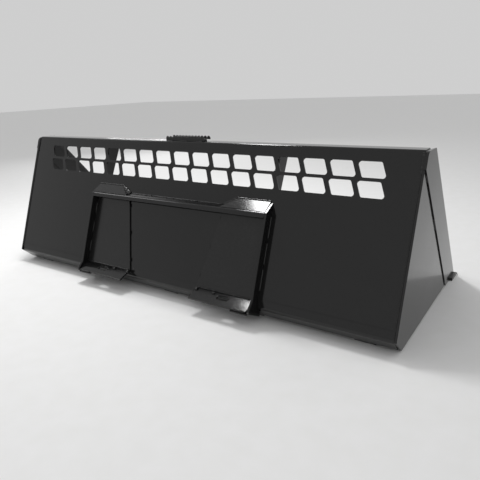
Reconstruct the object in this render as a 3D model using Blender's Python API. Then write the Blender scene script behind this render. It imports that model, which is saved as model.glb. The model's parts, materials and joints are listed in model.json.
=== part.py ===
"""Skid steer bucket with a see-through back: a welded assembly of plates, bars and formed sheets.

World frame: +X to the right as seen from behind (the quick-attach side), +Y forward to the
cutting edge, +Z up. The bucket rests flat on its wear runners and cutting edge at Z = 0.

Two frames are used for the outlines:
- heel frame (y, z): y forward and z up from the lowest rear corner of the side sheets;
- sheet frame (v, n): v up along the slanted back sheet from its lower fold, n rearwards out of it.
"""
import math

import bmesh
import bpy
from mathutils import Vector

# ---------------------------------------------------------------- driving dimensions (metres)
GAP = 0.0003                    # clearance between touching pieces
WIDTH = 2.454                   # over the side sheets
SIDE_T = 0.0095                 # side sheet thickness
SHEET_T = 0.00635               # back, heel and floor sheet thickness
HEEL_LIFT = 0.008               # side sheets' lower edge above the ground

BACK_ANGLE = math.radians(69.27)    # back sheet to the floor
FOLD_Y, FOLD_Z = -0.0652, 0.0665    # lower fold of the back sheet, heel frame
SHEET_TOP_V = 0.747                 # height of the back sheet along its slope
HEEL_SEAM_V = 0.047                 # seam between the back sheet and the bent heel sheet
HEEL_SEAM_Y = 0.120                 # seam between the heel sheet and the floor sheet
HEEL_TURN_Y = -0.002                # where the sloping heel would meet the floor
HEEL_BEND_R = 0.016
FLOOR_UNDER_Z = 0.006               # underside of the floor, heel frame

SIDE_TOP_Z = 0.764
SIDE_TOP_FRONT_Y = 0.314
SIDE_FRONT_Y = 0.962            # where the slanted front edge would meet the lower edge
SIDE_CORNER_R = 0.030           # rounded top rear corner
SIDE_LOW_REAR_Y = 0.0115        # rear end of the lower edge
SIDE_REAR_LOW = (-0.0680, 0.0704)
CUTTER_BAR_RUN = 0.200          # width of the side cutter bar, measured along Y
CUTTER_T = 0.016
CUTTER_PROUD = 0.005            # side cutter stands this far outside the side sheet
CUTTER_BEVEL = 0.060            # width of its inner bevel, measured along Y
CUTTER_TIP_T = 0.004
SIDE_JOINT_DROP = 0.002         # blunt top of the side sheet, under the side cutter

EDGE_REAR_Y, EDGE_FRONT_Y = 0.858, 0.988    # cutting edge bar
EDGE_HALF_X = 1.2455
EDGE_T = 0.016
EDGE_BEVEL_Y = 0.034
EDGE_NOSE_T = 0.004

RUNNER_CENTRES = (-1.075, -0.5375, 0.0, 0.5375, 1.075)
RUNNER_W = 0.092
RUNNER_Y = (0.004, 0.780)
RUNNER_END = 0.012              # bevel at both ends of a runner

WINDOW_COLUMNS = 17
WINDOW_PITCH = 0.1263
WINDOW_W = 0.1039
WINDOW_SLANT = 0.408            # sideways lean per unit of height, tops towards -X
WINDOW_R = 0.011
WINDOW_ROWS = ((0.6295, 0.6974, 0.0), (0.5478, 0.6153, 0.0066))    # v low, v high, shift

BEAM_TOP_Z = 0.768
BEAM_FRONT_Y = 0.284
BEAM_LIP = 0.040
BEAM_LEG = 0.034
BEAM_T = 0.006

STIFFENER_X = 0.570
STIFFENER_T = 0.008
STIFFENER_V = (0.100, 0.702)
STIFFENER_DEPTH = (0.032, 0.085)    # at its foot, at its head
STIFFENER_SKEW = 0.030          # its inner corners sit this much higher

QA_HALF_X = 0.584               # quick-attach frame over its side gussets, 46 inches
QA_CENTRE_X = 0.0105            # the frame and the windows sit this far right of the middle
QA_GUSSET_T = 0.012
QA_DEPTH = 0.046
QA_PLATE_T = 0.008
QA_PLATE_INNER = (0.231, 0.322)     # half plate's inner edge: at its foot, at its head
QA_PLATE_V = (0.036, 0.437)
HOOK_T = 0.0095
EAR_INNER = (0.318, 0.391)      # inner end of a hook ear: at its foot, at its head
EAR_HEAD = (0.492, 0.001)       # where the ear's face meets the back sheet, sheet frame
EAR_FOOT = (0.4365, 0.0425)     # and where it meets the hook rail
EAR_SEAT_V = 0.4543             # its lowest reach along the back sheet
EAR_T = 0.008
FOOT_T = 0.0095
FOOT_ROOT = (0.036, 0.0083)     # upper face of a foot: from the half plate to its tip
FOOT_TIP = (-0.016, 0.065)
FOOT_INNER_X = 0.235
FOOT_TIP_X = 0.562              # the outer corner of the tip is cut off to here
FOOT_SHOULDER = 0.030           # along the foot, where that cut starts
SLOT_X = (0.380, 0.447)         # lock-pin slot
SLOT_W = 0.027
SLOT_CENTRE = (0.009, 0.0285)   # sheet frame
SLOT_DEPTH = 0.025
TOE_BAR_INNER_X = 0.480         # it reaches from here to the gusset
TOE_BAR_T = 0.008
TOE_BAR_H = 0.022
TOE_BAR_PAST = 0.006            # beyond the foot's tip

STEP_HALF_X = 0.128
STEP_Y = (0.219, 0.275)
STEP_RAIL_T = 0.004
STEP_RISE = 0.008               # the tread's front rail above the beam
STEP_H = 0.025                  # over the teeth, above the beam
TOOTH_H = 0.009
TOOTH_COUNT = 12
RUNG_COUNT = 5
RUNG_T = 0.006
RUNG_INSET = 0.002
RUNG_SPREAD = 0.94
STEP_BLOCK_CENTRES = (-0.095, 0.0, 0.095)
STEP_BLOCK_W = 0.036
STEP_BLOCK_BACK = 0.010         # blocks end this far behind the tread's front face

HALF = WIDTH / 2
QA_INNER_X = QA_HALF_X - QA_GUSSET_T - GAP      # between the gussets, half the clear width
INNER_HALF = HALF + CUTTER_PROUD - CUTTER_T - GAP    # half the clear width between the sides
FRONT_SLOPE = (SIDE_FRONT_Y - SIDE_TOP_FRONT_Y) / SIDE_TOP_Z    # run back per unit of height
REAR_SLOPE = 1 / math.tan(BACK_ANGLE)
UP = (math.cos(BACK_ANGLE), math.sin(BACK_ANGLE))       # v direction in the heel frame
OUT = (-math.sin(BACK_ANGLE), math.cos(BACK_ANGLE))     # n direction in the heel frame


# ---------------------------------------------------------------- outline helpers
def from_sheet(v, n):
    """A point of the sheet frame, in the heel frame."""
    return (FOLD_Y + v * UP[0] + n * OUT[0], FOLD_Z + v * UP[1] + n * OUT[1])


def sheet_points(points):
    return [from_sheet(v, n) for v, n in points]


def fillet(points, radius, steps=4):
    """Rounds the inner corners of an open chain of points."""
    rounded = [Vector(points[0])]
    for before, corner, after in zip(points, points[1:], points[2:]):
        corner = Vector(corner)
        to_before = (Vector(before) - corner).normalized()
        to_after = (Vector(after) - corner).normalized()
        half_angle = to_before.angle(to_after) / 2
        reach = radius / math.tan(half_angle)
        centre = corner + (to_before + to_after).normalized() * radius / math.sin(half_angle)
        start = corner + to_before * reach - centre
        end = corner + to_after * reach - centre
        for i in range(steps + 1):
            rounded.append(centre + start.lerp(end, i / steps).normalized() * radius)
    rounded.append(Vector(points[-1]))
    return rounded


def offset(points, distance):
    """Moves an open chain of points to its left by the distance."""
    normals = []
    for start, end in zip(points, points[1:]):
        step = (end - start).normalized()
        normals.append(Vector((-step.y, step.x)))
    moved = []
    for point, before, after in zip(points, [normals[0], *normals], [*normals, normals[-1]]):
        normal = (before + after).normalized()
        moved.append(point + normal * distance / normal.dot(before))
    return moved


def bent_outline(outer, thickness, radius):
    """Outline of a bent sheet whose right-hand face follows the outer chain of points."""
    middle = offset([Vector(p) for p in outer], thickness / 2)
    middle = fillet(middle, radius)
    left = offset(middle, thickness / 2)
    right = offset(middle, -thickness / 2)
    return [tuple(p) for p in right + left[::-1]]


def foot_directions():
    """Unit vectors of a foot in the sheet frame: down along it, and through it to its underside."""
    along = (Vector(FOOT_TIP) - Vector(FOOT_ROOT)).normalized()
    return along, Vector((-along.y, along.x))


def slab(start, along, through):
    """Outline of a flat bar, in the heel frame, from a corner and its two sides."""
    corners = [start, start + along, start + along + through, start + through]
    return sheet_points([tuple(corner) for corner in corners])


def foot_outline():
    """Slanted flange below the half plates."""
    root = Vector(FOOT_ROOT)
    return slab(root, Vector(FOOT_TIP) - root, foot_directions()[1] * FOOT_T)


def toe_bar_outline():
    """Flat bar under the outer half of a foot, a little beyond its tip."""
    along, through = foot_directions()
    start = Vector(FOOT_TIP) + along * (TOE_BAR_PAST - TOE_BAR_H) + through * (FOOT_T + GAP)
    return slab(start, along * TOE_BAR_H, through * TOE_BAR_T)


REAR_Y = min(y for y, z in foot_outline() + toe_bar_outline())
CENTRE_Y = (REAR_Y + EDGE_FRONT_Y) / 2


def world(x, y, z):
    """Heel frame to world: centred along Y, standing on Z = 0."""
    return Vector((x, y - CENTRE_Y, z + HEEL_LIFT))


# ---------------------------------------------------------------- object helpers
def make_material(name, color, roughness, metallic=0.0):
    material = bpy.data.materials.new(name)
    material.use_nodes = True
    shader = material.node_tree.nodes["Principled BSDF"]
    shader.inputs["Base Color"].default_value = (*color, 1.0)
    shader.inputs["Roughness"].default_value = roughness
    shader.inputs["Metallic"].default_value = metallic
    return material


def finish(name, body, material):
    """Turns a bmesh into a named object with outward normals; a cutter has no material."""
    bmesh.ops.recalc_face_normals(body, faces=body.faces)
    mesh = bpy.data.meshes.new(name)
    body.to_mesh(mesh)
    body.free()
    obj = bpy.data.objects.new(name, mesh)
    bpy.context.scene.collection.objects.link(obj)
    if material:
        mesh.materials.append(material)
    return obj


def add_solid(body, near_ring, far_ring):
    """Adds the closed solid between two matching rings of world points to a bmesh."""
    near = [body.verts.new(point) for point in near_ring]
    far = [body.verts.new(point) for point in far_ring]
    body.faces.new(near)
    body.faces.new(far[::-1])
    for i in range(len(near)):
        j = (i + 1) % len(near)
        body.faces.new((near[i], far[i], far[j], near[j]))


def prism(name, outline, x0, x1, material):
    """An outline of (y, z) points in the heel frame, extruded along X."""
    body = bmesh.new()
    add_solid(body, [world(x0, y, z) for y, z in outline], [world(x1, y, z) for y, z in outline])
    return finish(name, body, material)


def qa_prism(name, outline, side, inner_x, outer_x, material):
    """A piece on one side of the quick-attach frame, between two distances from its middle."""
    x_sign = {"left": -1, "right": 1}[side]
    xs = sorted((QA_CENTRE_X + x_sign * inner_x, QA_CENTRE_X + x_sign * outer_x))
    return prism(name + "_" + side, outline, xs[0], xs[1], material)


def qa_point(x, v, n):
    """World point from the sheet frame, with x from the quick-attach frame's middle."""
    return world(QA_CENTRE_X + x, *from_sheet(v, n))


def hull(name, corners, material):
    """The convex body around the given world points."""
    body = bmesh.new()
    for corner in corners:
        body.verts.new(corner)
    made = bmesh.ops.convex_hull(body, input=body.verts)
    bmesh.ops.delete(body, geom=made["geom_interior"], context="VERTS")
    return finish(name, body, material)


def boolean(obj, other, operation):
    """Live Boolean with another object, which then is only a hidden tool."""
    other.hide_render = True
    other.display_type = "WIRE"
    modifier = obj.modifiers.new(operation.lower(), "BOOLEAN")
    modifier.operation = operation
    modifier.object = other
    modifier.solver = "EXACT"


# ---------------------------------------------------------------- shell of the bucket
def window_outline(centre_x, v_low, v_high):
    """Rounded parallelogram in the sheet frame: a list of (x, v) points."""
    lean = WINDOW_SLANT * (v_high - v_low) / 2
    half = WINDOW_W / 2
    corners = [(centre_x - half + lean, v_low), (centre_x + half + lean, v_low),
               (centre_x + half - lean, v_high), (centre_x - half - lean, v_high)]
    start = tuple((a + b) / 2 for a, b in zip(corners[0], corners[1]))
    chain = [start, *corners[1:], corners[0], start]
    return fillet(chain, WINDOW_R)[1:-1]


def back_sheet(paint):
    """Flat slanted sheet; two rows of leaning windows let the driver see the cutting edge."""
    low_v = HEEL_SEAM_V + GAP
    ends = [(low_v, 0), (SHEET_TOP_V, 0), (SHEET_TOP_V, -SHEET_T), (low_v, -SHEET_T)]
    sheet = prism("back_sheet", sheet_points(ends), -INNER_HALF, INNER_HALF, paint)
    cutter = bmesh.new()
    for v_low, v_high, shift in WINDOW_ROWS:
        for column in range(WINDOW_COLUMNS):
            centre_x = (column - (WINDOW_COLUMNS - 1) / 2) * WINDOW_PITCH + shift
            outline = window_outline(centre_x, v_low, v_high)
            behind = [qa_point(x, v, SHEET_T) for x, v in outline]
            ahead = [qa_point(x, v, -2 * SHEET_T) for x, v in outline]
            add_solid(cutter, behind, ahead)
    boolean(sheet, finish("window_cutter", cutter, None), "DIFFERENCE")


def heel_sheet(paint):
    """Press-braked heel: a slight bend, the lower fold and the turn into the floor."""
    outer = sheet_points([(HEEL_SEAM_V, 0), (HEEL_SEAM_V - 0.006, 0), (0.001, -0.003)])
    outer += [(HEEL_TURN_Y, FLOOR_UNDER_Z), (HEEL_SEAM_Y, FLOOR_UNDER_Z)]
    prism("heel_sheet", bent_outline(outer, SHEET_T, HEEL_BEND_R), -INNER_HALF, INNER_HALF, paint)


def floor_sheet(paint):
    y0, y1 = HEEL_SEAM_Y + GAP, EDGE_REAR_Y - GAP
    z0, z1 = FLOOR_UNDER_Z, FLOOR_UNDER_Z + SHEET_T
    prism("floor_sheet", [(y0, z0), (y1, z0), (y1, z1), (y0, z1)], -INNER_HALF, INNER_HALF, paint)


def front_y(z, back=0.0):
    """Y of the side's slanted front edge at height z, or of a line this far behind it."""
    return SIDE_FRONT_Y - FRONT_SLOPE * z - back


def rear_y(z):
    """Y of the side's slanted rear edge at height z."""
    return SIDE_REAR_LOW[0] + (z - SIDE_REAR_LOW[1]) * REAR_SLOPE


def side_sheets(paint):
    """Side sheets: upright at the back, cut off along the side cutter bar in front."""
    joint_z = (front_y(0, CUTTER_BAR_RUN) - rear_y(0)) / (FRONT_SLOPE + REAR_SLOPE)
    sheet_z = joint_z - SIDE_JOINT_DROP
    back = CUTTER_BAR_RUN + 2 * GAP
    outline = [(SIDE_LOW_REAR_Y, 0), (front_y(0, back), 0), (front_y(sheet_z, back), sheet_z),
               (rear_y(sheet_z), sheet_z), SIDE_REAR_LOW]
    for side, x_sign in (("left", -1), ("right", 1)):
        xs = sorted((x_sign * (HALF - SIDE_T), x_sign * HALF))
        prism("side_sheet_" + side, outline, xs[0], xs[1], paint)
        side_cutter(side, x_sign, (rear_y(SIDE_TOP_Z), SIDE_TOP_Z), (rear_y(joint_z), joint_z), paint)


def side_cutter(side, x_sign, rear_top, bar_rear, paint):
    """Thick bar along the slanted front edge, bevelled on its inner face."""
    edge_z = EDGE_T - HEEL_LIFT + GAP
    past = 2 * CUTTER_T
    corner = fillet([bar_rear, rear_top, (SIDE_TOP_FRONT_Y, SIDE_TOP_Z)], SIDE_CORNER_R, 6)
    outline = [(front_y(0, CUTTER_BAR_RUN), 0), (EDGE_REAR_Y - GAP, 0), (EDGE_REAR_Y - GAP, edge_z),
               (front_y(edge_z), edge_z), (SIDE_TOP_FRONT_Y, SIDE_TOP_Z)]
    outline += [tuple(p) for p in corner[-2:0:-1]] + [bar_rear]
    outside = HALF + CUTTER_PROUD
    xs = sorted((x_sign * (outside - CUTTER_T), x_sign * outside))
    bar = prism("side_cutter_" + side, outline, xs[0], xs[1], paint)
    corners = []
    for z in (-past, SIDE_TOP_Z + past):
        corners.append(world(x_sign * (outside - CUTTER_T), front_y(z, CUTTER_BEVEL), z))
        corners.append(world(x_sign * (outside - CUTTER_TIP_T), front_y(z), z))
        corners.append(world(x_sign * (outside - CUTTER_TIP_T), front_y(z, -past), z))
        corners.append(world(x_sign * (outside - past), front_y(z, -past), z))
        corners.append(world(x_sign * (outside - past), front_y(z, CUTTER_BEVEL), z))
    boolean(bar, hull("bevel_cutter_" + side, corners, None), "DIFFERENCE")


def cutting_edge(paint):
    """Flat bar with a bevelled nose; its ends stand out past the sides."""
    z0, z1 = -HEEL_LIFT, EDGE_T - HEEL_LIFT
    outline = [(EDGE_REAR_Y, z0), (EDGE_FRONT_Y, z0), (EDGE_FRONT_Y, z0 + EDGE_NOSE_T),
               (EDGE_FRONT_Y - EDGE_BEVEL_Y, z1), (EDGE_REAR_Y, z1)]
    prism("cutting_edge", outline, -EDGE_HALF_X, EDGE_HALF_X, paint)


def wear_runners(paint):
    """Flat bars under the floor that carry the bucket on the ground."""
    z0, z1 = -HEEL_LIFT, FLOOR_UNDER_Z - GAP
    y0, y1 = RUNNER_Y
    outline = [(y0 + RUNNER_END, z0), (y1 - RUNNER_END, z0), (y1, z1), (y0, z1)]
    for number, centre_x in enumerate(RUNNER_CENTRES, 1):
        x0, x1 = centre_x - RUNNER_W / 2, centre_x + RUNNER_W / 2
        prism(f"wear_runner_{number}", outline, x0, x1, paint)


def top_beam(paint):
    """Formed channel along the top of the back sheet, between the side cutters."""
    sheet_face = -SHEET_T - GAP
    leg_top_v = (BEAM_TOP_Z - FOLD_Z - sheet_face * OUT[1]) / UP[1]
    leg = sheet_points([(leg_top_v - BEAM_LEG, sheet_face), (leg_top_v, sheet_face)])
    outer = [(BEAM_FRONT_Y, BEAM_TOP_Z - BEAM_LIP), (BEAM_FRONT_Y, BEAM_TOP_Z), leg[1], leg[0]]
    outline = bent_outline(outer, BEAM_T, 0.006)
    prism("top_beam", outline, -INNER_HALF, INNER_HALF, paint)


def stiffeners(paint):
    """Tapered webs on the inside of the back sheet, in line with the quick-attach gussets."""
    face = -SHEET_T - GAP
    low_v, high_v = STIFFENER_V
    low_n, high_n = STIFFENER_DEPTH
    outline = sheet_points([(low_v, face), (high_v, face), (high_v + STIFFENER_SKEW, -high_n),
                            (low_v + STIFFENER_SKEW, -low_n)])
    for side in ("left", "right"):
        inner_x = STIFFENER_X - STIFFENER_T / 2
        qa_prism("back_stiffener", outline, side, inner_x, inner_x + STIFFENER_T, paint)


# ---------------------------------------------------------------- quick-attach frame
def hook_rail(paint):
    """Shelf with a down-turned lip; the loader's plate hooks up under it."""
    outer = sheet_points([(0.4515, 0.0042), (0.434, 0.0455), (0.410, 0.0485)])
    x0, x1 = QA_CENTRE_X - QA_INNER_X, QA_CENTRE_X + QA_INNER_X
    prism("qa_hook_rail", bent_outline(outer, HOOK_T, 0.0085), x0, x1, paint)


def hook_ears(paint):
    """Folded plates that brace the two ends of the hook rail against the back sheet."""
    foot_x, head_x = EAR_INNER
    front = Vector((EAR_FOOT[0] - EAR_HEAD[0], EAR_FOOT[1] - EAR_HEAD[1]))
    inward = Vector((-front.y, front.x)).normalized() * EAR_T
    hollow_head = Vector(EAR_HEAD) + inward
    hollow_foot = Vector(EAR_FOOT) + inward + front.normalized() * 2 * EAR_T
    for side, x_sign in (("left", -1), ("right", 1)):
        outline = [(QA_INNER_X, *EAR_HEAD), (head_x, *EAR_HEAD),
                   (QA_INNER_X, EAR_SEAT_V, EAR_HEAD[1]), (foot_x, EAR_SEAT_V, EAR_HEAD[1]),
                   (QA_INNER_X, *EAR_FOOT), (foot_x, *EAR_FOOT)]
        ear = hull("qa_hook_ear_" + side, [qa_point(x_sign * x, v, n) for x, v, n in outline], paint)
        hollow = []
        for inner_x, (v, n) in ((head_x + EAR_T, hollow_head), (foot_x + EAR_T, hollow_foot)):
            for x in (QA_INNER_X + 2 * EAR_T, inner_x):
                hollow.append(qa_point(x_sign * x, v, n))
                hollow.append(qa_point(x_sign * x, v, -QA_DEPTH))
        boolean(ear, hull("ear_hollow_" + side, hollow, None), "DIFFERENCE")


def half_plates(paint):
    """Two doubler plates that the loader's plate lies against."""
    foot_x, head_x = QA_PLATE_INNER
    low_v, high_v = QA_PLATE_V
    for side, x_sign in (("left", -1), ("right", 1)):
        corners = []
        for n in (GAP, QA_PLATE_T):
            for x, v in ((QA_INNER_X, low_v), (QA_INNER_X, high_v), (head_x, high_v), (foot_x, low_v)):
                corners.append(qa_point(x_sign * x, v, n))
        hull("qa_half_plate_" + side, corners, paint)


def gussets(paint):
    """Upright end plates; at the foot each steps out to the toe bar, and a tail wraps under to the heel."""
    outline = sheet_points([(0.485, GAP), (0.432, QA_DEPTH), (0.030, QA_DEPTH), (-0.012, 0.066),
                            (-0.024, 0.060), (-0.037, -0.040), (-0.016, -0.0365), (0.0005, GAP)])
    for side in ("left", "right"):
        qa_prism("qa_gusset", outline, side, QA_HALF_X - QA_GUSSET_T, QA_HALF_X, paint)


def slot_outline(centre_y, steps=8):
    """Ring of (x, y) points around a lock-pin slot with round ends."""
    radius = SLOT_W / 2
    ring = []
    for centre_x, start in ((SLOT_X[1] - radius, -math.pi / 2), (SLOT_X[0] + radius, math.pi / 2)):
        for i in range(steps + 1):
            angle = start + math.pi * i / steps
            ring.append((centre_x + radius * math.cos(angle), centre_y + radius * math.sin(angle)))
    return ring


def feet(paint):
    """Slotted slanted flanges; the loader's lock pins drop through the slots."""
    along = foot_directions()[0]
    slot_y, slot_z = from_sheet(*SLOT_CENTRE)
    shoulder = Vector(from_sheet(*(Vector(FOOT_ROOT) + along * FOOT_SHOULDER)))
    past_tip = Vector(from_sheet(*(Vector(FOOT_TIP) + along * 2 * TOE_BAR_PAST)))
    through = Vector((0, SLOT_DEPTH, -SLOT_DEPTH))
    for side, x_sign in (("left", -1), ("right", 1)):
        foot = qa_prism("qa_foot", foot_outline(), side, FOOT_INNER_X, QA_INNER_X, paint)
        slot = bmesh.new()
        ring = [(QA_CENTRE_X + x_sign * x, y) for x, y in slot_outline(slot_y)]
        add_solid(slot, [world(x, y, slot_z - SLOT_DEPTH) for x, y in ring],
                  [world(x, y, slot_z + SLOT_DEPTH) for x, y in ring])
        boolean(foot, finish("slot_cutter_" + side, slot, None), "DIFFERENCE")
        corners = []
        for x, point in ((QA_INNER_X + 0.001, shoulder), (FOOT_TIP_X, past_tip),
                         (QA_HALF_X + QA_DEPTH, past_tip), (QA_HALF_X + QA_DEPTH, shoulder)):
            corner = world(QA_CENTRE_X + x_sign * x, *point)
            corners += [corner + through, corner - through]
        boolean(foot, hull("corner_cutter_" + side, corners, None), "DIFFERENCE")
        qa_prism("qa_foot_toe_bar", toe_bar_outline(), side, TOE_BAR_INNER_X, QA_INNER_X, paint)


# ---------------------------------------------------------------- step on the top beam
def toothed_rail(name, y, z0, paint):
    """One upright rail of the tread, with blunt teeth along its top."""
    tip_z = BEAM_TOP_Z + STEP_H
    root_z = tip_z - TOOTH_H
    pitch = 2 * STEP_HALF_X / TOOTH_COUNT
    profile = [(STEP_HALF_X, z0), (-STEP_HALF_X, z0)]
    for tooth in range(TOOTH_COUNT):
        x = -STEP_HALF_X + tooth * pitch
        profile += [(x, root_z), (x + 0.35 * pitch, tip_z), (x + 0.65 * pitch, tip_z)]
    profile.append((STEP_HALF_X, root_z))
    body = bmesh.new()
    add_solid(body, [world(x, y, z) for x, z in profile],
              [world(x, y + STEP_RAIL_T, z) for x, z in profile])
    return finish(name, body, paint)


def step_tread(paint):
    """Serrated grip tread: two toothed rails joined by rungs."""
    tread = toothed_rail("step_tread", STEP_Y[0], BEAM_TOP_Z + GAP, paint)
    front_rail = toothed_rail("rail_front", STEP_Y[1] - STEP_RAIL_T, BEAM_TOP_Z + STEP_RISE, paint)
    rungs = bmesh.new()
    y0, y1 = STEP_Y[0] + STEP_RAIL_T / 2, STEP_Y[1] - STEP_RAIL_T / 2
    z0, z1 = BEAM_TOP_Z + STEP_RISE, BEAM_TOP_Z + STEP_H - TOOTH_H
    ends = [(y0, z0 + RUNG_INSET), (y1, z0 + RUNG_INSET), (y1, z1 - RUNG_INSET), (y0, z1 - RUNG_INSET)]
    for i in range(RUNG_COUNT):
        x0 = (STEP_HALF_X - RUNG_T) * (2 * i / (RUNG_COUNT - 1) - 1) * RUNG_SPREAD - RUNG_T / 2
        x1 = x0 + RUNG_T
        add_solid(rungs, [world(x0, y, z) for y, z in ends], [world(x1, y, z) for y, z in ends])
    boolean(tread, front_rail, "UNION")
    boolean(tread, finish("rungs", rungs, None), "UNION")


def step_blocks(paint):
    """Spacer blocks that carry the tread on the beam."""
    z0, z1 = BEAM_TOP_Z + GAP, BEAM_TOP_Z + STEP_RISE - GAP
    y0, y1 = STEP_Y[0] + STEP_RAIL_T + GAP, STEP_Y[1] - STEP_BLOCK_BACK
    outline = [(y0, z0), (y1, z0), (y1, z1), (y0, z1)]
    for number, x in enumerate(STEP_BLOCK_CENTRES, 1):
        prism(f"step_block_{number}", outline, x - STEP_BLOCK_W / 2, x + STEP_BLOCK_W / 2, paint)


def build():
    for obj in list(bpy.data.objects):
        bpy.data.objects.remove(obj)
    paint = make_material("black_gloss_paint", (0.012, 0.012, 0.013), 0.22)
    bar_paint = make_material("black_bar_paint", (0.016, 0.015, 0.015), 0.3)
    tread_paint = make_material("tread_paint", (0.014, 0.014, 0.014), 0.5)
    back_sheet(paint)
    heel_sheet(paint)
    floor_sheet(paint)
    side_sheets(paint)
    cutting_edge(bar_paint)
    wear_runners(bar_paint)
    top_beam(paint)
    stiffeners(paint)
    hook_rail(paint)
    hook_ears(paint)
    half_plates(paint)
    gussets(paint)
    feet(paint)
    step_tread(tread_paint)
    step_blocks(tread_paint)


build()
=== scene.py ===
# %% [markdown]
# # A welded skid steer bucket
# A wide steel bucket of sheared plates and press-braked sheets, welded together and sprayed gloss black.
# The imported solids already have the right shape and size. This lesson gives them what the shop gives the
# real ones: eased edges, weld beads along the seams, and black paint with its dust and smears.
# The frame is loaded first, because every later piece takes its place from it.

# %% Load the frame
import json
import math

import bpy
from mathutils import Matrix, Quaternion, Vector


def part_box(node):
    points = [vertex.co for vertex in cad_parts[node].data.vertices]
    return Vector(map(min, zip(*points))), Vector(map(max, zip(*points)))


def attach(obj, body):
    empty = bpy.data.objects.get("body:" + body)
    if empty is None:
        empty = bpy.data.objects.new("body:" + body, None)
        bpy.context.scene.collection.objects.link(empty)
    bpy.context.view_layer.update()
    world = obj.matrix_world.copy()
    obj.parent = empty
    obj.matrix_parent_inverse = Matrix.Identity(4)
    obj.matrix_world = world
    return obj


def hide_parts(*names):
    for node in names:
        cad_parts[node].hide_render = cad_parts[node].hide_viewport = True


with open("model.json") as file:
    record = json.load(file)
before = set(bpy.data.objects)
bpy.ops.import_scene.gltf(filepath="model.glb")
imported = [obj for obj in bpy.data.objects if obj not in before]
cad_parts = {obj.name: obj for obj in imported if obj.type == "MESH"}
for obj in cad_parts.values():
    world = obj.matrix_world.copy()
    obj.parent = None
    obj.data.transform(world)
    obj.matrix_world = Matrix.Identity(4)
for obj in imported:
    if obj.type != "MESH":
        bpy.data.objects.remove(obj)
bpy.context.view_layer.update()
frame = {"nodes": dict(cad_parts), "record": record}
nodes = frame["nodes"]
print("pieces in the frame:", len(nodes))

# %% [markdown]
# The back sheet is slanted, so its welds and plates are easier to place in a frame of its own: up along the
# sheet, and out of it to the rear. Both directions could be typed in as angles. They are read from the
# record instead, from the flat face where the loader's plate rests, so they can never disagree with it.

# %% Directions of the back sheet
mounts = {mount["name"]: mount for mount in frame["record"]["mounts"]}
REST_HEIGHT, REST_OUT = 0.25, 0.008      # of the mount, above the lower fold and out of the sheet
OUT = Vector(mounts["qa_face_left"]["axis"]).normalized()
UP = Vector((0, OUT.z, -OUT.y))
face_left, face_right = (Vector(mounts["qa_face_" + side]["pos_m"]) for side in ("left", "right"))
FOLD = (face_left + face_right) / 2 - REST_HEIGHT * UP - REST_OUT * OUT


def on_sheet(x, up, out):
    """A point in the back sheet's own frame, in metres; x is from the middle of the quick-attach frame."""
    return FOLD + Vector((x, 0, 0)) + up * UP + out * OUT


print("sheet leans back", round(math.degrees(math.asin(UP.y)), 1), "degrees from upright")

# %% [markdown]
# The camera looks at the back of the bucket from its right end, about a metre above the floor. A camera can
# be aimed with a Track To constraint, but its roll and aim are simplest to keep exactly when its three axes
# are given.

# %% Camera
RIGHT = Vector((0.82814, 0.55895, -0.04198))
DOWN = Vector((0.13741, -0.27507, -0.95157))
AHEAD = RIGHT.cross(-DOWN).normalized() * -1
view = bpy.data.cameras.new("view")
view.sensor_width = 36
view.lens = 36.19
camera = bpy.data.objects.new("view", view)
bpy.context.collection.objects.link(camera)
axes = Matrix((RIGHT, -DOWN, -AHEAD)).transposed().to_4x4()
eye = FOLD + Vector((1.66694, -1.66506, 0.96603))
camera.matrix_world = Matrix.Translation(eye) @ axes
bpy.context.scene.camera = camera
print("camera looks along", [round(c, 3) for c in AHEAD])

# %% [markdown]
# ## Gloss black paint
# The bucket was sprayed after welding. The paint is nearly black, smooth and glossy, so most of what the eye
# sees is reflection. Three faults make it real: the fine orange-peel of a spray gun, the slow waves of the
# sheet below it, and grey dust that settled after it dried. A picture could carry these, but noise textures
# on Object coordinates work at any distance and need no unwrapping. The noise steers roughness and bump.

# %% Node helpers
def add_node(tree, kind, **values):
    """Adds a node, and sets its properties and its sockets by name."""
    node = tree.nodes.new(kind)
    for name, value in values.items():
        if hasattr(node, name):
            setattr(node, name, value)
        else:
            node.inputs[name.replace("_", " ").title()].default_value = value
    return node


def noise(tree, place, scale, detail=3.0, roughness=0.5):
    node = add_node(tree, "ShaderNodeTexNoise", scale=scale, detail=detail, roughness=roughness)
    tree.links.new(place, node.inputs["Vector"])
    return node.outputs["Fac"]


def spread(tree, value, low_in, high_in, low_out, high_out):
    """Maps a value from one range to another, clamped."""
    node = tree.nodes.new("ShaderNodeMapRange")
    numbers = {"From Min": low_in, "From Max": high_in, "To Min": low_out, "To Max": high_out}
    for name, number in numbers.items():
        node.inputs[name].default_value = number
    tree.links.new(value, node.inputs["Value"])
    return node.outputs["Result"]


MIX_FACTOR, MIX_FIRST, MIX_SECOND, MIX_RESULT = 0, 6, 7, 2     # sockets of a Mix node set to colour


def mix_color(tree, factor, first, second):
    """Blends two colours; each is a colour or another node's output."""
    node = add_node(tree, "ShaderNodeMix", data_type="RGBA")
    tree.links.new(factor, node.inputs[MIX_FACTOR])
    for socket, color in ((node.inputs[MIX_FIRST], first), (node.inputs[MIX_SECOND], second)):
        if isinstance(color, tuple):
            socket.default_value = (*color, 1)
        else:
            tree.links.new(color, socket)
    return node.outputs[MIX_RESULT]


def bump(tree, height, distance, strength, below=None):
    node = add_node(tree, "ShaderNodeBump", strength=strength, distance=distance)
    tree.links.new(height, node.inputs["Height"])
    if below:
        tree.links.new(below, node.inputs["Normal"])
    return node.outputs["Normal"]


# %% [markdown]
# Each kind of piece could get a material built by hand. One recipe makes them all instead, so that the paints
# differ only in their numbers: a slightly different black, and its gloss, dust and unevenness.

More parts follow.
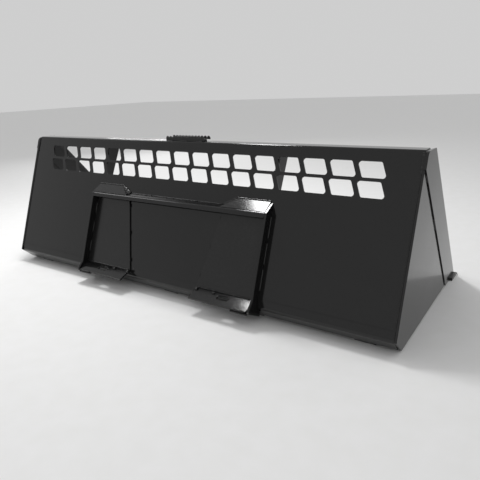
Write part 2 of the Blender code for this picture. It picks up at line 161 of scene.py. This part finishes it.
# %% The paint itself
DUST = (0.10, 0.095, 0.085)
SPECK_SCALE, SMEAR_SCALE, PATCH_SCALE = 420, 7, 3.5      # noise scales: the larger, the finer
WAVE_SCALE, PEEL_SCALE = 2.6, 330


def black_paint(name, color, gloss, dust=0.25, wave=1.0, peel=1.0):
    """Sprayed black paint: gloss is its roughness, dust and wave say how dirty and how uneven it is."""
    material = bpy.data.materials.new(name)
    material.use_nodes = True
    tree = material.node_tree
    shader = tree.nodes["Principled BSDF"]
    place = tree.nodes.new("ShaderNodeTexCoord").outputs["Object"]
    specks = spread(tree, noise(tree, place, SPECK_SCALE, 2), 0.66, 0.74, 0, dust)
    smears = spread(tree, noise(tree, place, SMEAR_SCALE, 6, 0.65), 0.52, 0.80, 0, dust * 0.6)
    dull = mix_color(tree, smears, color, tuple(c * 1.6 + 0.004 for c in color))
    tree.links.new(mix_color(tree, specks, dull, DUST), shader.inputs["Base Color"])
    patches = spread(tree, noise(tree, place, PATCH_SCALE, 5, 0.6), 0.35, 0.7, gloss * 0.85, gloss * 1.25)
    rougher = tree.nodes.new("ShaderNodeMath")
    rougher.operation = "ADD"
    tree.links.new(patches, rougher.inputs[0])
    dull_specks = spread(tree, noise(tree, place, SPECK_SCALE, 2), 0.62, 0.74, 0, 0.3)
    tree.links.new(dull_specks, rougher.inputs[1])
    tree.links.new(rougher.outputs[0], shader.inputs["Roughness"])
    shader.inputs["IOR"].default_value = 1.45
    waves = bump(tree, noise(tree, place, WAVE_SCALE, 1.5), 0.012 * wave, 0.5)
    skin = bump(tree, noise(tree, place, PEEL_SCALE, 2), 0.0004 * peel, 0.25, waves)
    tree.links.new(skin, shader.inputs["Normal"])
    return material


SHEET_PAINT = black_paint("gloss_black_sheet", (0.0065, 0.0065, 0.0065), 0.08, wave=0.3, peel=0.6)
PLATE_PAINT = black_paint("gloss_black_plate", (0.008, 0.008, 0.008), 0.2, dust=0.3, wave=0.2)
FRAME_PAINT = black_paint("gloss_black_frame", (0.005, 0.005, 0.0052), 0.1, dust=0.35, wave=0.5)
BAR_PAINT = black_paint("black_bar_paint", (0.008, 0.0075, 0.007), 0.27, dust=0.5, wave=0.4, peel=2)
TREAD_PAINT = black_paint("satin_tread_paint", (0.009, 0.009, 0.009), 0.42, dust=0.5, peel=3)
WELD_PAINT = black_paint("painted_weld", (0.006, 0.006, 0.006), 0.1, dust=0.3, peel=2)
print("paints:", [material.name for material in bpy.data.materials if material.use_nodes])

# %% [markdown]
# ## Plates with eased edges
# A sheared or flame-cut plate never has a knife edge: grinding and paint leave a radius of a millimetre or
# so, which catches a thin line of light. A Bevel modifier on the solids would do, but their faces are loose
# triangles. So each plate is copied, its doubled points are merged and its flat faces joined again, and
# only then are its sharp edges bevelled. Smooth shading alone would make the wide faces look dished, so
# Weighted Normal keeps them flat and turns the light only over the rounded edge. The solid stays as it is.

# %% A helper that copies a plate and eases its edges
def deselect_all():
    if bpy.context.object and bpy.context.object.mode != "OBJECT":
        bpy.ops.object.mode_set(mode="OBJECT")
    bpy.ops.object.select_all(action="DESELECT")


def select_only(piece):
    deselect_all()
    piece.select_set(True)
    bpy.context.view_layer.objects.active = piece


def finish_piece(piece, paint, slot_name, *stands_for):
    """Paints a finished piece and hangs it on the frame."""
    piece.data.materials.clear()
    piece.data.materials.append(paint)
    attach(piece, "root")
    if stands_for:
        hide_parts(*stands_for)
    return piece


def eased_copy(node, radius, paint, slot_name, steps=2):
    """A copy of a plate, with its sharp edges rounded."""
    select_only(nodes[node])
    bpy.ops.object.duplicate()
    piece = bpy.context.object
    for key in list(piece.keys()):       # marks of a frame node, which the copy is not
        del piece[key]
    piece.parent = None
    piece.name = node + "_plate"
    bpy.ops.object.mode_set(mode="EDIT")
    bpy.ops.mesh.select_all(action="SELECT")
    bpy.ops.mesh.remove_doubles(threshold=0.00002)
    bpy.ops.mesh.dissolve_limited(angle_limit=math.radians(0.6))
    bpy.ops.object.mode_set(mode="OBJECT")
    ease = piece.modifiers.new("eased edges", "BEVEL")
    ease.width = radius
    ease.segments = steps
    ease.limit_method = "ANGLE"
    ease.angle_limit = math.radians(35)
    bpy.ops.object.modifier_apply(modifier=ease.name)
    bpy.ops.object.shade_smooth_by_angle(angle=math.radians(60))
    flat = piece.modifiers.new("flat faces stay flat", "WEIGHTED_NORMAL")
    flat.weight = 100
    flat.keep_sharp = True
    bpy.ops.object.modifier_apply(modifier=flat.name)
    return finish_piece(piece, paint, slot_name, node)


# %% The plates of the shell
BAR_NODES = ["cutting_edge"] + [f"wear_runner_{number}" for number in range(1, 6)]
SHELL_NODES = ["back_sheet", "heel_sheet", "floor_sheet", "side_sheet_left", "side_sheet_right",
               "side_cutter_left", "side_cutter_right", "top_beam", "back_stiffener_left",
               "back_stiffener_right"]
for node in SHELL_NODES:
    eased_copy(node, 0.0011, SHEET_PAINT, "black_paint")
for node in BAR_NODES:
    eased_copy(node, 0.0016, BAR_PAINT, "bar_paint")
print("eased:", len(SHELL_NODES) + len(BAR_NODES), "plates and bars")

# %% [markdown]
# The quick-attach frame is what a loader picks the bucket up by. Its edges could be eased as the shell's are,
# but they are rounded a little more here, and the small teeth of the step's tread a little less, so that
# they stay teeth.

# %% The plates of the quick-attach frame
QA_NODES = ["qa_hook_rail"]
for part in ("hook_ear", "half_plate", "gusset", "foot", "foot_toe_bar"):
    QA_NODES += [f"qa_{part}_left", f"qa_{part}_right"]
for node in QA_NODES:
    paint = PLATE_PAINT if "half_plate" in node else FRAME_PAINT
    eased_copy(node, 0.0018, paint, "black_paint", 3)
STEP_NODES = ["step_tread", "step_block_1", "step_block_2", "step_block_3"]
for node in STEP_NODES:
    eased_copy(node, 0.0008, TREAD_PAINT, "tread_paint", 1)
print("eased:", len(QA_NODES) + len(STEP_NODES), "quick-attach and step pieces")

# %% [markdown]
# ## Weld beads
# A weld bead is a row of frozen ripples, laid a few millimetres apart. It could be a bump map on a tube, but
# beads stand out against the light, so they are real geometry here. One ripple is made by extruding a ring
# twice, wider and back again. An Array repeats it along the seam with its doubled rings merged, and a
# Displace with a cloud texture makes the run as uneven as a hand holds it.

# %% One run of weld
RIPPLE = 0.0045          # from one ripple to the next
SWELL = 1.17             # how much a ripple bulges
unevenness = bpy.data.textures.new("hand_wobble", "CLOUDS")
unevenness.noise_scale = 0.012
bead_lengths = []


def weld_bead(name, start, end, radius):
    """A run of weld from one point to another, sunk by half into its seam."""
    count = max(3, round((end - start).length / RIPPLE))
    deselect_all()
    bpy.ops.mesh.primitive_circle_add(vertices=8, radius=radius)
    bead = bpy.context.object
    bead.name = name
    bpy.ops.object.mode_set(mode="EDIT")
    bpy.ops.mesh.select_all(action="SELECT")
    for rise, widen in ((0.4, SWELL), (0.6, 1 / SWELL)):
        bpy.ops.mesh.extrude_region_move(TRANSFORM_OT_translate={"value": (0, 0, rise * RIPPLE)})
        bpy.ops.transform.resize(value=(widen, widen, 1))
    bpy.ops.object.mode_set(mode="OBJECT")
    row = bead.modifiers.new("ripples", "ARRAY")
    row.count = count
    row.use_relative_offset = False
    row.use_constant_offset = True
    row.constant_offset_displace = (0, 0, RIPPLE)
    row.use_merge_vertices = True
    row.merge_threshold = 0.0001
    bpy.ops.object.modifier_apply(modifier=row.name)
    bpy.ops.object.mode_set(mode="EDIT")
    bpy.ops.mesh.select_all(action="SELECT")
    bpy.ops.mesh.fill_holes(sides=0)
    bpy.ops.mesh.normals_make_consistent(inside=False)
    bpy.ops.object.mode_set(mode="OBJECT")
    turn = (end - start).to_track_quat("Z", "Y").to_matrix().to_4x4()
    bead.matrix_world = Matrix.Translation(start) @ turn
    bpy.ops.object.transform_apply(location=True, rotation=True, scale=True)
    wobble = bead.modifiers.new("wobble", "DISPLACE")
    wobble.texture = unevenness
    wobble.texture_coords = "LOCAL"
    wobble.strength = radius * 0.6
    bpy.ops.object.modifier_apply(modifier=wobble.name)
    bpy.ops.object.shade_smooth_by_angle(angle=math.radians(60))
    bead_lengths.append(count * RIPPLE)
    return finish_piece(bead, WELD_PAINT, "weld_metal")


# %% [markdown]
# Many seams are not welded end to end. Short runs with gaps between them hold as well where the load is low,
# and they put less heat into the plate. One long bead could be cut up, but laying each run by itself gives
# every run closed ends.

# %% A stitched seam
def stitch(name, start, end, radius, run, pitch):
    """Short runs of weld with gaps between them, along one seam."""
    seam = end - start
    count = max(1, int((seam.length + pitch - run) / pitch))
    first = (seam.length - (count - 1) * pitch - run) / 2
    for number in range(count):
        begin = start + seam.normalized() * (first + number * pitch)
        weld_bead(f"{name}_{number + 1}", begin, begin + seam.normalized() * run, radius)


# %% [markdown]
# The shell is welded where its sheets meet the sides. The rear seams are long and thin, with a heavier run
# at the top corner. The side cutters are stitched to the side sheets. The seams' ends come from the boxes of
# the pieces, and along the back from heights up the back sheet.

# %% Welds of the shell
REAR_RUNS = (("seam", 0.045, 0.655, 0.0030), ("top", 0.655, 0.742, 0.0058))     # from, to, bead radius
SIDE_RUNS = ((0.03, 0.08), (0.35, 0.44), (0.95, 0.985))     # shares of the side joint, from its top
JOINT_TOP_RUN = 0.2395       # top of the side joint, ahead of the side sheet's rear corner
CORNER_BEAD, JOINT_BEAD = 0.0045, 0.0030
_, sheet_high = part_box("back_sheet")
floor_low, floor_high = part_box("floor_sheet")
panel_low, panel_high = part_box("side_sheet_right")
edge_low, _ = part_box("cutting_edge")
floor_seam_z = floor_high.z + 0.001
joint_top = Vector((panel_high.x, panel_low.y + JOINT_TOP_RUN, panel_high.z))
joint_foot = Vector((panel_high.x, panel_high.y, panel_low.z))
joint = joint_foot - joint_top
for side, sign in (("left", -1), ("right", 1)):
    rear_x = sign * (sheet_high.x - 0.0010) - FOLD.x
    for part, low, high, radius in REAR_RUNS:
        weld_bead(f"weld_rear_{part}_{side}", on_sheet(rear_x, low, 0.0004),
                  on_sheet(rear_x, high, 0.0004), radius)
    inner_x = sign * (sheet_high.x - 0.002)
    floor_start = Vector((inner_x, floor_low.y, floor_seam_z))
    floor_end = Vector((inner_x, edge_low.y, floor_seam_z))
    weld_bead("weld_floor_side_" + side, floor_start, floor_end, CORNER_BEAD)
    flip = Vector((sign, 1, 1))
    for number, (begin, stop) in enumerate(SIDE_RUNS, 1):
        weld_bead(f"weld_side_joint_{side}_{number}", (joint_top + begin * joint) * flip,
                  (joint_top + stop * joint) * flip, JOINT_BEAD)
edge_seam = Vector((sheet_high.x - 0.03, edge_low.y, floor_seam_z))
weld_bead("weld_cutting_edge", edge_seam * Vector((-1, 1, 1)), edge_seam, CORNER_BEAD)
print("shell welds so far:", round(sum(bead_lengths), 2), "m")

# %% [markdown]
# The quick-attach frame carries the load, so its plates are welded along many seams: each ear along three of
# its edges, the hook rail along its top, the gussets outside and in, each foot along its root, each toe bar
# along the foot's tip, and each half plate with a few short runs. The runs keep clear of the lock-pin slots.

# %% Welds of the quick-attach frame
gusset_low, gusset_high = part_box("qa_gusset_right")
outer_face, inner_face = gusset_high.x - FOLD.x, gusset_low.x - FOLD.x
ear_foot_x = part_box("qa_hook_ear_right")[0].x - FOLD.x
EAR_HEAD_X = 0.390           # where the ear's sloping end starts
EAR_HEAD = (0.4925, 0.0012)      # each seam's place: up the sheet, and out of it
EAR_SLOPE_FOOT = (0.4545, 0.0040)
EAR_RAIL = ((0.4520, 0.0060), (0.4370, 0.0400))
FOOT_ROOT, FOOT_TIP, FOOT_TACK = (0.0375, 0.0100), (-0.0172, 0.0630), (0.0270, 0.0200)
ROOT_START_X, TIP_START_X, TIP_END_X = 0.238, 0.482, 0.560
TACK_X, TACK_RUN = (0.240, 0.342), Vector((0.010, 0, 0))
for side, sign in (("left", -1), ("right", 1)):
    outside = sign * (outer_face + 0.0015)
    stitch("weld_gusset_outer_" + side, on_sheet(outside, 0.03, 0.0015), on_sheet(outside, 0.475, 0.0015),
           0.0042, 0.095, 0.120)
    inside = sign * (inner_face - 0.0015)
    stitch("weld_gusset_inner_" + side, on_sheet(inside, 0.05, 0.0095), on_sheet(inside, 0.42, 0.0095),
           0.0036, 0.060, 0.110)
    weld_bead("weld_ear_head_" + side, on_sheet(sign * inner_face, *EAR_HEAD),
              on_sheet(sign * EAR_HEAD_X, *EAR_HEAD), 0.0036)
    weld_bead("weld_ear_slope_" + side, on_sheet(sign * EAR_HEAD_X, *EAR_HEAD),
              on_sheet(sign * (ear_foot_x + 0.001), *EAR_SLOPE_FOOT), 0.0042)
    weld_bead("weld_ear_rail_" + side, on_sheet(sign * (ear_foot_x + 0.001), *EAR_RAIL[0]),
              on_sheet(sign * (ear_foot_x + 0.004), *EAR_RAIL[1]), 0.0036)
    weld_bead("weld_foot_root_" + side, on_sheet(sign * ROOT_START_X, *FOOT_ROOT),
              on_sheet(sign * inner_face, *FOOT_ROOT), 0.0034)
    weld_bead("weld_toe_bar_" + side, on_sheet(sign * TIP_START_X, *FOOT_TIP),
              on_sheet(sign * TIP_END_X, *FOOT_TIP), 0.0040)
    for number, x in enumerate(TACK_X, 1):
        tack = on_sheet(sign * x, *FOOT_TACK)
        weld_bead(f"weld_foot_tack_{side}_{number}", tack, tack + TACK_RUN, 0.0072)
    plate_edge = [on_sheet(sign * x, v, 0.0075) for x, v in ((0.2325, 0.05), (0.3200, 0.43))]
    stitch("weld_plate_edge_" + side, *plate_edge, 0.0026, 0.018, 0.150)
stitch("weld_hook_top", on_sheet(-0.315, 0.4528, 0.0030), on_sheet(0.315, 0.4528, 0.0030),
       0.0040, 0.150, 0.156)
print("welds in all:", len(bead_lengths), "runs,", round(sum(bead_lengths), 2), "m")

# %% [markdown]
# Inside, the stiffeners and the beam are stitched to the back sheet, and the tread to the beam. These seams
# are hidden from most sides. They could be left out, but bare joints would look unfinished from the front.

# %% Welds inside and on the step
INSIDE_BEAD = 0.0040
BEAM_SEAM_X = 1.19           # half the length of the beam's seam
for side in ("left", "right"):
    web_low, web_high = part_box("back_stiffener_" + side)
    for face, x in (("a", web_low.x - 0.001), ("b", web_high.x + 0.001)):
        seam_x = x - FOLD.x
        stitch(f"weld_web_{side}_{face}", on_sheet(seam_x, 0.11, -0.0078), on_sheet(seam_x, 0.69, -0.0078),
               INSIDE_BEAD, 0.080, 0.165)
leg_foot = on_sheet(0, 0.7065, -0.0085)
stitch("weld_beam_leg", Vector((-BEAM_SEAM_X, leg_foot.y, leg_foot.z)),
       Vector((BEAM_SEAM_X, leg_foot.y, leg_foot.z)), INSIDE_BEAD, 0.120, 0.300)
tread_low, tread_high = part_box("step_tread")
tread_seam = Vector((tread_high.x - 0.01, tread_low.y - 0.001, tread_low.z + 0.001))
stitch("weld_step", tread_seam * Vector((-1, 1, 1)), tread_seam, 0.0030, 0.035, 0.100)
print("welds in all:", len(bead_lengths), "runs,", round(sum(bead_lengths), 2), "m")

# %% [markdown]
# ## Floor, room light and soft boxes
# A gloss black piece is lit by what it mirrors, so its stage could be painted with made-up reflections. They
# would only look right from one side. Here the floor is plain and pale, the room gives one even soft light,
# and the highlights come from four area lamps, so the bucket can be looked at from anywhere.

# %% Floor
deselect_all()
bpy.ops.mesh.primitive_plane_add(size=60, location=(0, 0, -0.0005))
floor = bpy.context.object
floor.name = "studio_floor"
pale = bpy.data.materials.new("pale_floor")
pale.use_nodes = True
ground = pale.node_tree
pale_shader = ground.nodes["Principled BSDF"]
pale_shader.inputs["Roughness"].default_value = 0.9
pale_shader.inputs["Specular IOR Level"].default_value = 0.1
spot = ground.nodes.new("ShaderNodeTexCoord").outputs["Object"]
grain = spread(ground, noise(ground, spot, 12), 0.3, 0.7, 0.0, 1.0)
ground.links.new(mix_color(ground, grain, (0.79, 0.79, 0.785), (0.81, 0.81, 0.81)),
                 pale_shader.inputs["Base Color"])
floor.data.materials.append(pale)
print("floor at", round(floor.location.z, 4))

# %% World: one even light from all round
world = bpy.data.worlds.new("studio")
bpy.context.scene.world = world
world.use_nodes = True
ROOM_LIGHT = (0.62, 0.62, 0.62, 1)
world.node_tree.nodes["Background"].inputs["Color"].default_value = ROOM_LIGHT
print("world:", world.name)

# %% [markdown]
# The room's light alone would leave the bucket flat. A sun lamp could add highlights, but its shadows are
# hard. Large rectangular area lamps give soft shadows, and broad highlights where gloss paint mirrors them.

# %% Soft boxes
def soft_box(name, place, aim, width, depth, radiance, turn=0):
    """A rectangular area light facing a point and turned about its own axis, in degrees.

    Its power follows from its size.
    """
    lamp = bpy.data.lights.new(name, "AREA")
    lamp.shape = "RECTANGLE"
    lamp.size, lamp.size_y = width, depth
    lamp.energy = radiance * math.pi * width * depth
    box = bpy.data.objects.new(name, lamp)
    bpy.context.collection.objects.link(box)
    box.location = place
    facing = (Vector(aim) - Vector(place)).to_track_quat("-Z", "Y")
    box.rotation_euler = (facing @ Quaternion((0, 0, 1), math.radians(turn))).to_euler()
    return box


soft_box("overhead_box", (-0.90, 0.30, 3.0), (-0.90, 0.30, 0), 0.52, 1.0, 36, turn=27)
soft_box("nose_box", (-3.1, -1.3, 3.0), (0, -0.4, 0.4), 0.9, 1.2, 5)
soft_box("side_panel", (-4.3, 4.1, 2.1), (0, 0, 0.6), 1.7, 1.2, 6)
soft_box("fill_box", (2.5, -3.5, 3.6), (0, 0, 0.2), 2.5, 1.5, 1.2)
bpy.context.scene.view_settings.view_transform = "Standard"
print("lights:", [light.name for light in bpy.data.lights])
